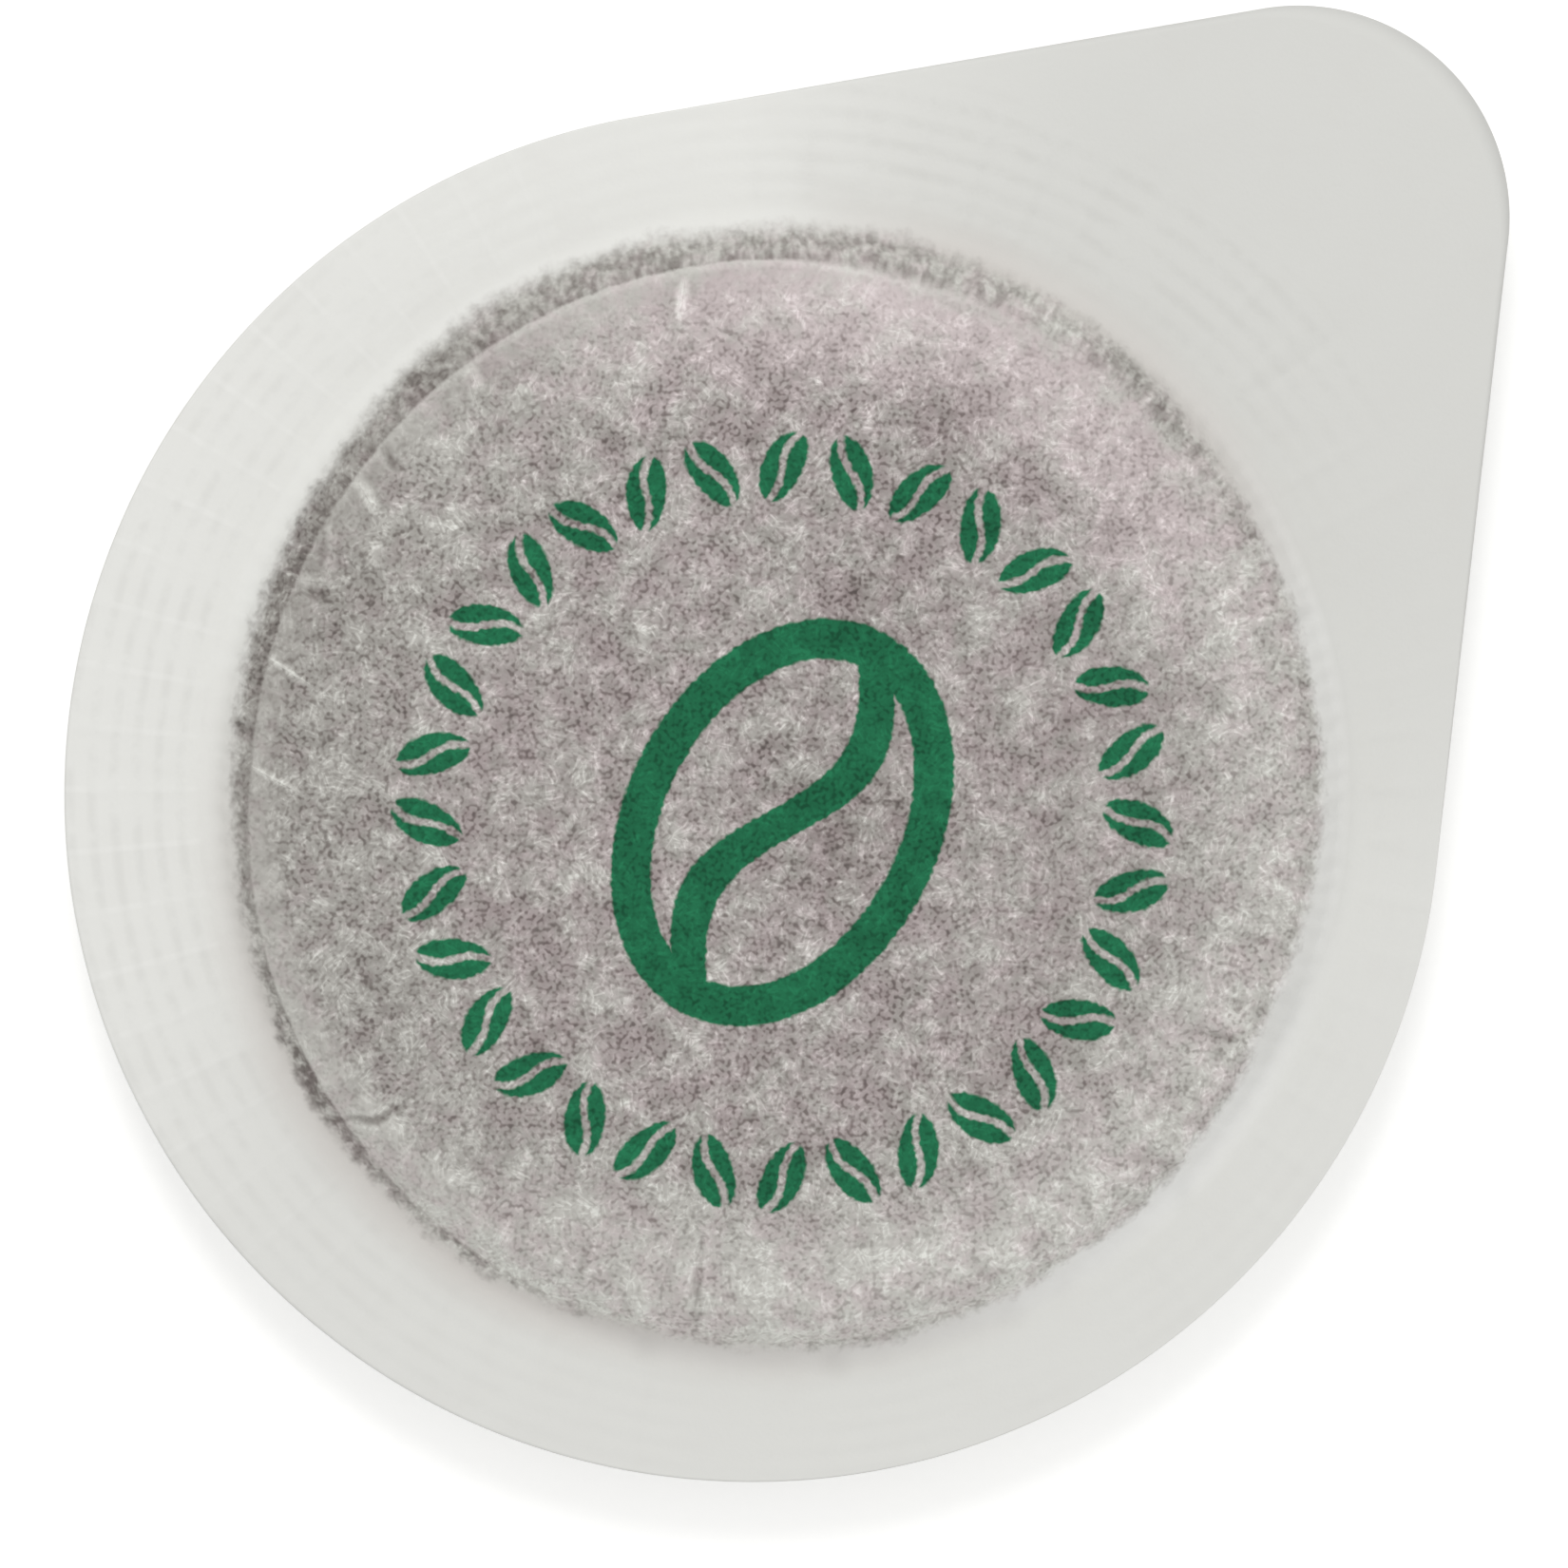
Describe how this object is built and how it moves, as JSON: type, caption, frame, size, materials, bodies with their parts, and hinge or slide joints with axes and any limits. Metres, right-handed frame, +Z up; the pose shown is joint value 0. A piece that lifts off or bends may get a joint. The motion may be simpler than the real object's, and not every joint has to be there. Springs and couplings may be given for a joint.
{
  "type": "espresso pod",
  "caption": "Teardrop paper espresso pod: a pressed coffee tablet sealed between two pleated filter papers with a round flange and a pull tab.",
  "frame": {"origin": "on the coffee tablet's axis, on the flat underside that the pod rests on", "axes": "+Z up through the printed face; +X out along the pull tab; +Y across the flange"},
  "size_m": [0.0677, 0.055, 0.0096],
  "materials": {
    "printed_filter_paper": "matt translucent filter paper, coffee showing through, green print",
    "plain_filter_paper": "matt translucent filter paper, coffee showing through",
    "pressed_coffee": null
  },
  "bodies": {
    "root": {"upper_paper": "printed_filter_paper", "lower_paper": "plain_filter_paper", "coffee_tablet": "pressed_coffee"}
  },
  "joints": []
}
